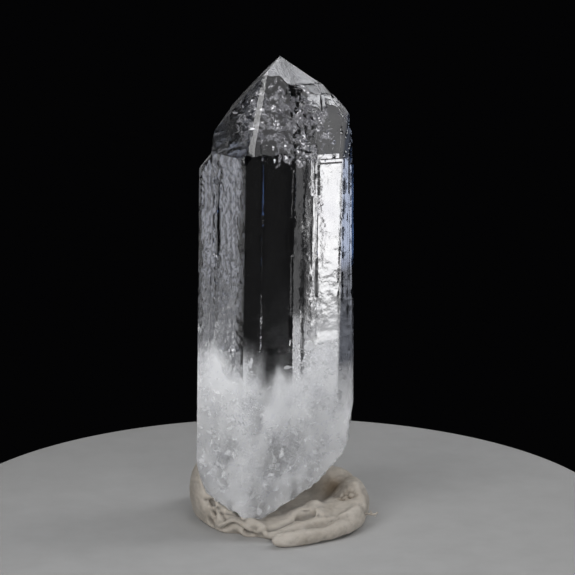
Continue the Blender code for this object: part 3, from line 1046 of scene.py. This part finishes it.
@dataclass(frozen=True)
class Flakes(Inclusions):
    """A swarm of thin crumpled flakes, the faces of small healed cracks."""

    centre: Triple = (1.8, 0.5, 66.5)
    spread: Triple = (8.6, 5.0, 6.8)
    middle: float = 1.2
    narrowest: float = 0.3
    rounding: float = 0.25
    ragged: float = 0.45
    outline_grain: Grain = Grain((0.7, 0.7, 1.0), 81.0)
    crumple: float = 0.4
    crumple_grain: Grain = Grain((0.8, 0.8, 1.0), 85.0)
    thickness: float = 0.06

    def reach(self) -> tuple[Triple, Triple]:
        """Return the lowest and highest corner of the swarm."""
        centre, spread = Vector(self.centre), Vector(self.spread)
        return tuple(centre - spread), tuple(centre + spread)

    def density(self, points: np.ndarray) -> np.ndarray:
        """Return how thick the swarm is at each point, fading from its middle."""
        return np.clip(self.middle - squared_way(points, self.centre, self.spread), 0.0, 1.0)

    def scales(self, rng: np.random.Generator) -> np.ndarray:
        """Return the sizes of the flakes, some of them narrow."""
        sizes = super().scales(rng)
        sizes[:, 1] *= rng.uniform(self.narrowest, 1.0, self.count)
        return sizes

    def pattern(self) -> tuple[np.ndarray, np.ndarray]:
        """Model one flake: a thin sheet with a ragged outline. Returns its points and triangles."""
        bpy.ops.mesh.primitive_grid_add(x_subdivisions=5, y_subdivisions=5, size=2.0)
        sheet = bpy.context.active_object
        points = points_of(sheet.data)
        round_off = 1.0 - self.rounding * (points[:, 0] * points[:, 1]) ** 2
        torn = 1.0 + self.ragged * self.outline_grain.smooth(points)
        points *= (round_off * torn)[:, None]
        points[:, 2] = self.crumple * self.crumple_grain.smooth(points)
        move_points(sheet.data, points)
        apply_modifier(sheet, "SOLIDIFY", thickness=self.thickness)
        return self.taken_apart(sheet)


@dataclass(frozen=True)
class Veils(Flakes, MilkCloud):
    """Thin white veils that mottle the milk, shaped as flakes and spread as the cloud is."""

    thins_behind: Pair = (4.0, 10.0)
    back_share: float = 0.15

    def reach(self) -> tuple[Triple, Triple]:
        """Return the lowest and highest corner of the cloud."""
        return MilkCloud.reach(self)

    def density(self, points: np.ndarray) -> np.ndarray:
        """Return how thick the cloud is at each point, more so near the front."""
        front = np.maximum(fade(points[:, 1], *self.thins_behind), self.back_share)
        return MilkCloud.density(self, points) * front


@dataclass(frozen=True)
class Groove:
    """A line pressed into the putty in millimetres, or a bead raised along it where depth is below 0."""

    line: tuple[Triple, ...]
    width: float
    depth: float

    def press(self, points: np.ndarray) -> np.ndarray:
        """Return how far each point is pressed in."""
        stops = np.array(self.line)
        nearest = np.full(len(points), np.inf)
        for start, end in zip(stops[:-1], stops[1:]):
            way = end - start
            share = np.clip((points - start) @ way / (way @ way), 0.0, 1.0)
            nearest = np.minimum(nearest, np.linalg.norm(points - start - share[:, None] * way, axis=1))
        return self.depth * np.exp(-((nearest / self.width) ** 2))


@dataclass(frozen=True)
class PuttyLump:
    """The lump of mounting putty, pinched and torn by hand.

    Sizes are in millimetres. firmness is how far a mark's depth is pressed home. The rough patch and the
    hollow, each a centre and a radius, are soiled.
    """

    voxel: float = 0.26
    smoothing: int = 3
    flat_below: float = 0.8
    dents: float = 0.24
    dent_grain: Grain = Grain((4.4, 4.4, 3.4), 51.0)
    creases: float = 0.07
    crease_grain: Grain = Grain((2.6, 2.6, 1.1), 57.0)
    crease_width: float = 0.28
    lumps: float = 0.05
    lump_grain: Grain = Grain((0.9, 0.9, 0.9), 63.0)
    firmness: float = 1.3
    rough_patch: Triple = (11.0, -1.5, 4.1)
    patch_radius: float = 1.7
    patch_pits: Grain = Grain((0.9, 0.9, 0.9), 67.0)
    pit_width: float = 0.5
    pit_depth: float = 1.3
    patch_grain: Grain = Grain((0.6, 0.6, 0.6), 69.0)
    patch_rough: float = 0.2
    patch_soil: float = 0.8
    hollow: Triple = (9.0, 4.0, 4.0)
    hollow_radius: float = 2.3
    marks: tuple[Groove, ...] = (
        Groove(((-9.6, -8.9, 0.5), (-8.5, -9.4, 1.2), (-7.5, -9.9, 1.9), (-6.7, -10.7, 1.8),
                (-5.9, -11.3, 1.5), (-5.0, -11.2, 0.9), (-4.3, -10.6, 0.4)), 0.5, 0.9),
        Groove(((-9.5, -8.9, 1.5), (-8.5, -9.3, 2.2), (-7.5, -9.8, 2.9), (-6.7, -10.6, 2.8),
                (-5.9, -11.2, 2.5), (-5.0, -11.1, 1.8), (-3.4, -10.9, 1.3), (-2.0, -11.4, 2.1)),
               0.4, -0.4),
        Groove(((-10.7, -6.5, 3.8), (-10.5, -7.8, 3.2), (-10.5, -7.9, 2.0)), 0.28, 1.2),
        Groove(((-10.9, -5.4, 4.6), (-10.7, -5.6, 4.2)), 0.3, 0.55),
        Groove(((-12.0, -5.7, 4.9), (-10.0, -6.1, 4.2), (-9.2, -7.9, 3.5), (-8.7, -8.9, 2.5)), 0.3, 0.35),
        Groove(((-9.2, -7.9, 3.5), (-7.1, -7.7, 3.0), (-5.4, -10.5, 3.1)), 0.35, 0.3),
        Groove(((-1.6, -11.6, 1.6), (0.0, -10.2, 1.8), (1.6, -8.7, 2.0), (3.3, -7.1, 2.1),
                (4.8, -6.1, 2.2), (6.6, -7.3, 2.8)), 0.5, 0.45),
        Groove(((-1.9, -12.2, 1.2), (-0.2, -12.2, 1.4), (1.6, -11.0, 1.6), (2.9, -10.2, 1.9),
                (4.7, -9.1, 2.1), (6.5, -8.6, 2.4), (8.4, -8.0, 2.5), (10.2, -7.8, 2.8),
                (11.8, -7.2, 3.2), (13.0, -5.6, 3.5)), 0.8, -0.45),
        Groove(((4.4, -5.3, 3.4), (4.9, -5.9, 2.9), (5.6, -6.9, 2.9)), 0.8, 0.45),
        Groove(((5.6, -3.4, 3.2), (6.4, -4.1, 3.5)), 0.9, -0.6),
        Groove(((8.4, 4.6, 4.1), (9.4, 3.7, 4.0)), 1.5, 0.15),
        Groove(((13.0, 1.1, 5.3), (13.8, -1.3, 4.3), (14.2, -3.6, 3.3)), 0.9, -0.3),
    )

    def skin(self) -> Object:
        """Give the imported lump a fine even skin."""
        obj = copy_of_node("mounting_putty", "putty_skin")
        apply_modifier(obj, "REMESH", mode="VOXEL", voxel_size=self.voxel)
        apply_modifier(obj, "SMOOTH", factor=0.5, iterations=self.smoothing)
        return obj

    def knead(self, obj: Object) -> None:
        """Press finger dents and creases into the skin, leaving its flat underside alone."""
        points, normals = points_of(obj.data), rows_of(obj.data.vertices, "normal")
        height = self.dents * self.dent_grain.smooth(points)
        crease = np.clip(self.crease_grain.crests(points) - (1.0 - self.crease_width), 0.0, 1.0)
        height -= self.creases * (crease / self.crease_width)
        height += self.lumps * self.lump_grain.smooth(points)
        patch = np.exp(-squared_way(points, self.rough_patch, self.patch_radius))
        pitted = self.patch_pits.cuts(points, self.pit_width)
        height -= patch * (self.pit_depth * pitted + self.patch_rough * self.patch_grain.smooth(points))
        for mark in self.marks:
            height -= self.firmness * mark.press(points)
        soil = self.patch_soil * patch * np.clip(0.3 + 2.0 * pitted, 0.0, 1.0)
        soil += np.exp(-squared_way(points, self.hollow, self.hollow_radius))
        note(obj, "soil", "FLOAT", "value", np.clip(soil, 0.0, 1.0))
        free = climb(points[:, 2], 0.0, self.flat_below)
        move_points(obj.data, points + normals * (height * free)[:, None])

    def build(self, material: Material) -> None:
        """Model and dress the lump."""
        obj = self.skin()
        self.knead(obj)
        obj.data.shade_smooth()
        finish_piece(obj, material, "putty", "mounting_putty")


@dataclass(frozen=True)
class Fibre:
    """The wisp of white fibre at the putty's right.

    rods are slim rods as (centre, half length, half width, turn), in millimetres and degrees.
    """

    voxel: float = 0.06
    fuzz: float = 0.07
    fuzz_grain: Grain = Grain((0.3, 0.3, 0.3), 91.0)
    rods: tuple[tuple[Triple, float, float, float], ...] = (
        ((15.1, -3.7, 1.8), 1.0, 0.2, 8.0), ((16.0, -3.7, 1.85), 0.75, 0.1, -12.0),
        ((15.4, -3.8, 2.1), 0.45, 0.12, 70.0), ((15.9, -3.7, 1.6), 0.5, 0.1, 40.0),
        ((16.3, -3.8, 1.95), 0.3, 0.12, -60.0),
    )

    def build(self, material: Material) -> None:
        """Model the wisp as one closed knot of thin rods."""
        parts = []
        for centre, half, width, turn in self.rods:
            bpy.ops.mesh.primitive_uv_sphere_add(
                segments=14, ring_count=10, radius=1.0, location=centre,
                rotation=(0.0, math.radians(turn), 0.0), scale=(half, width, width),
            )
            bpy.ops.object.transform_apply(location=True, rotation=True, scale=True)
            parts.append(bpy.context.active_object)
        for part in parts:
            part.select_set(True)
        bpy.ops.object.join()
        obj = bpy.context.active_object
        obj.name = "putty_fibre"
        apply_modifier(obj, "REMESH", mode="VOXEL", voxel_size=self.voxel)
        points, normals = points_of(obj.data), rows_of(obj.data.vertices, "normal")
        move_points(obj.data, points + normals * (self.fuzz * self.fuzz_grain.smooth(points))[:, None])
        obj.data.shade_smooth()
        finish_piece(obj, material, "putty")


def main() -> None:
    """Build the specimen's pieces in order and set up the studio."""
    logging.basicConfig(level=logging.INFO, format="%(name)s: %(message)s")
    groups = {"grain": make_grain_group(), "tone": make_tone_group()}
    quartz = ClearQuartz("clear_quartz", (0.80, 0.80, 0.83), (1.0, 1.0, 1.0), tone_size=320.0,
                         contrast=3.0, coarse=900.0, fine=1800.0, bump_mm=0.08).make(groups)
    milk = Milk("milky_inclusions", (0.80, 0.80, 0.82), (0.93, 0.93, 0.93), bump_mm=0.01).make(groups)
    putty = Putty("mounting_putty", (0.42, 0.375, 0.32), (0.58, 0.535, 0.48), tone_size=240.0,
                  contrast=2.4, coarse=1500.0, fine=5200.0, bump_mm=0.09).make(groups)
    floor = PaleFloor("pale_floor", (0.44, 0.44, 0.44), (0.49, 0.49, 0.49), bump_mm=0.01).make(groups)
    QuartzCrystal().build(quartz)
    crack = Crack("crack_faces", (0.3, 0.3, 0.33), (0.8, 0.79, 0.8), tone_size=900.0,
                  bump_mm=0.01).make(groups)
    Flakes("tip_flakes", 520, 0.15, 0.85, 0.5, 5).build(crack)
    veil = Milk("milk_veil", (0.48, 0.48, 0.49), (0.84, 0.84, 0.84), bump_mm=0.01).make(groups)
    Veils("milk_veils", 1350, 0.12, 0.85, 0.4, 47, top=2.0).build(veil)
    MilkCloud("milk_cloud", 20000, 0.08, 0.2, 2.4, 11).build(milk)
    MilkCloud("milk_haze", 30000, 0.035, 0.07, 0.3, 23, top=2.0).build(milk)
    PuttyLump().build(putty)
    Fibre().build(putty)
    Studio().build(floor)


if __name__ == "__main__":
    main()
